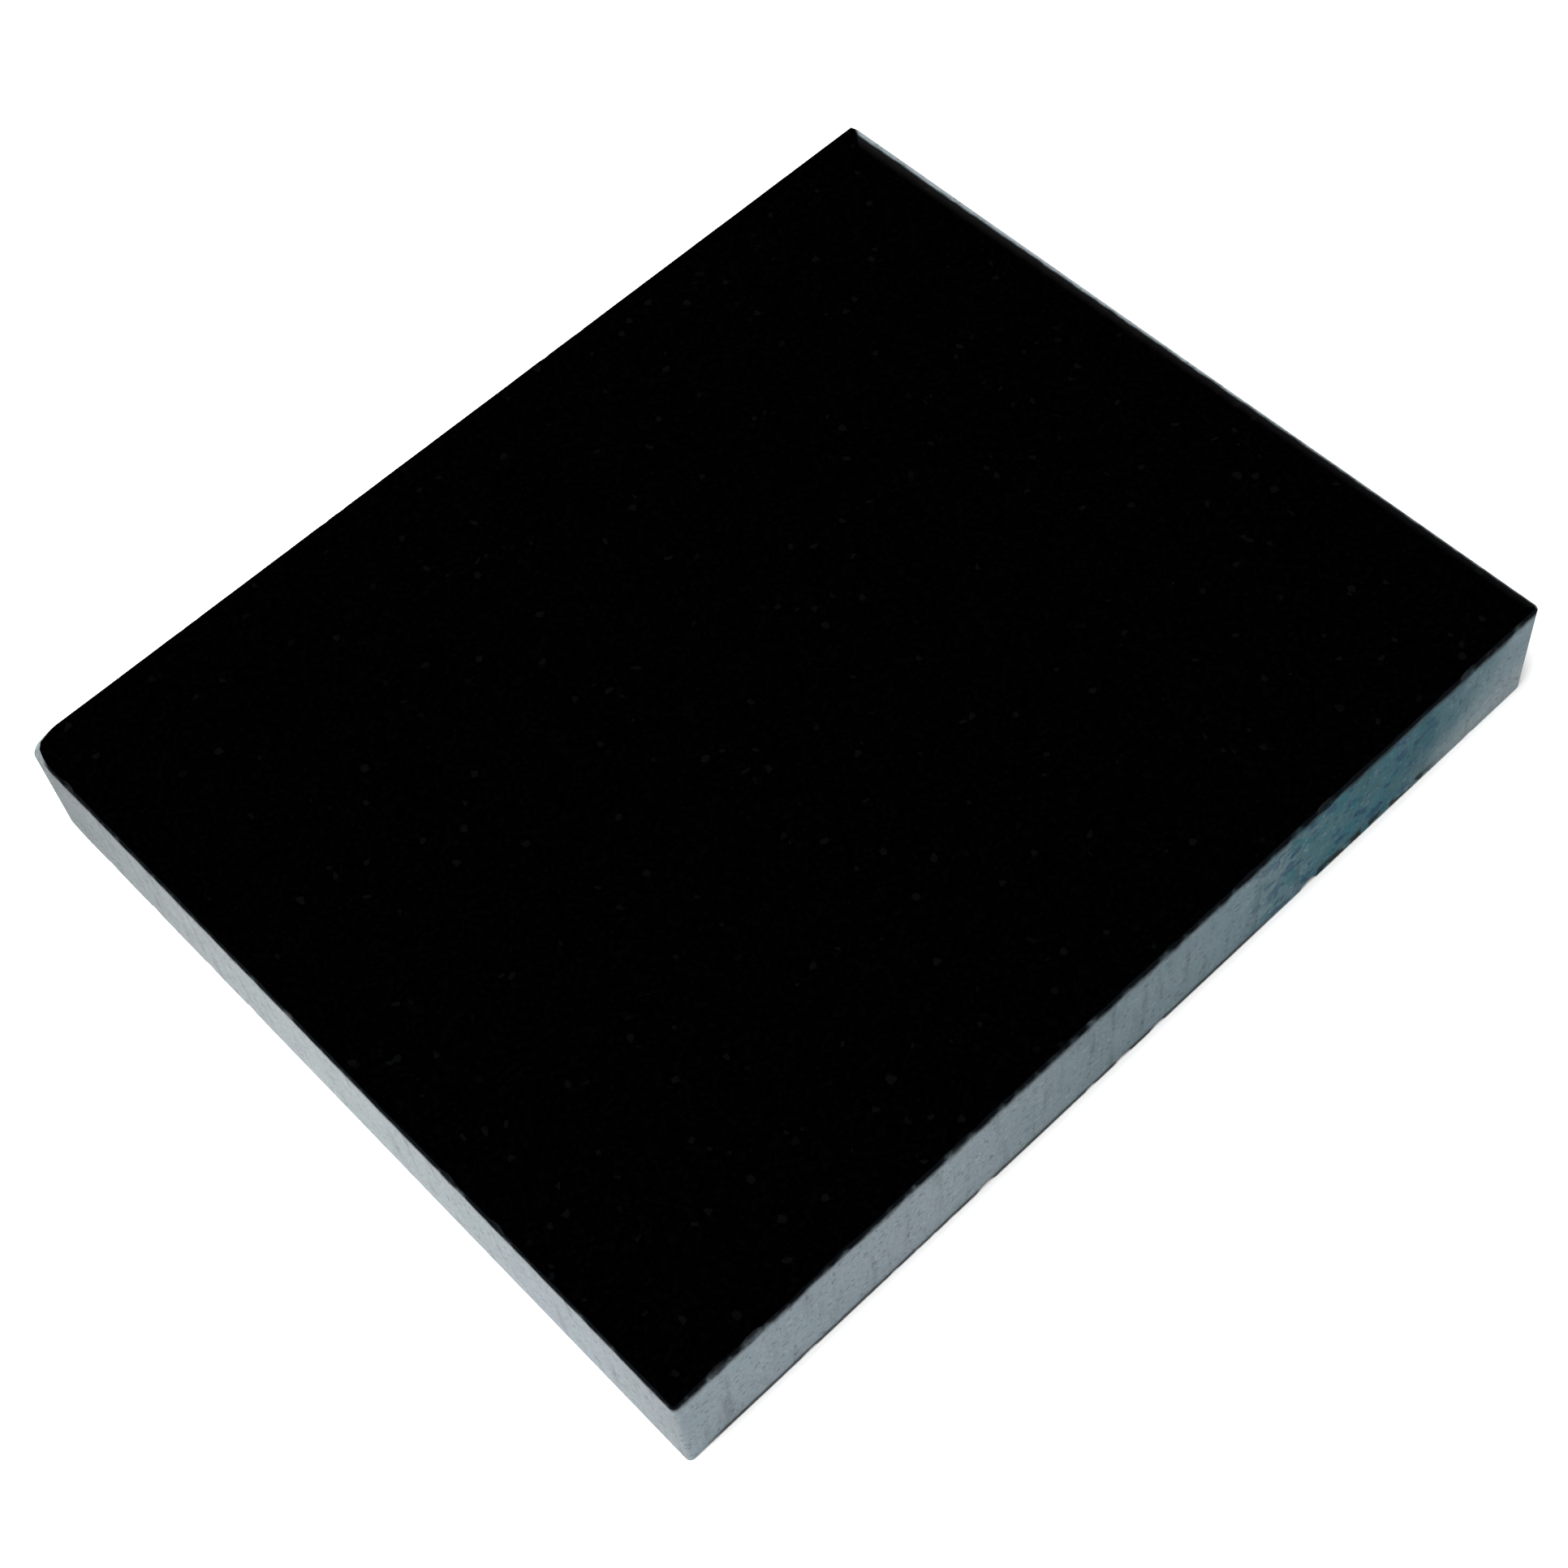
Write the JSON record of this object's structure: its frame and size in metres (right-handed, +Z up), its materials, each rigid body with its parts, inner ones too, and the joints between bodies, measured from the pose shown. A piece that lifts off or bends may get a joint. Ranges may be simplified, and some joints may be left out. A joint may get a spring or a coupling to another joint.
{
  "type": "granite slab",
  "caption": "Flat rectangular slab of black granite with a polished top and sawn grey sides, a hard bench surface for stamping, tooling and punching leather.",
  "frame": {"origin": "middle of the slab's underside, on the surface that it rests on", "axes": "+X along the length, +Y across the width, +Z up through the thickness and out of the polished working face"},
  "size_m": [0.25, 0.21, 0.03],
  "materials": {
    "granite": "polished on the working face, matt and sawn on the sides and underside, where the stone looks pale grey"
  },
  "bodies": {
    "root": {"granite_slab": "granite"}
  },
  "joints": []
}
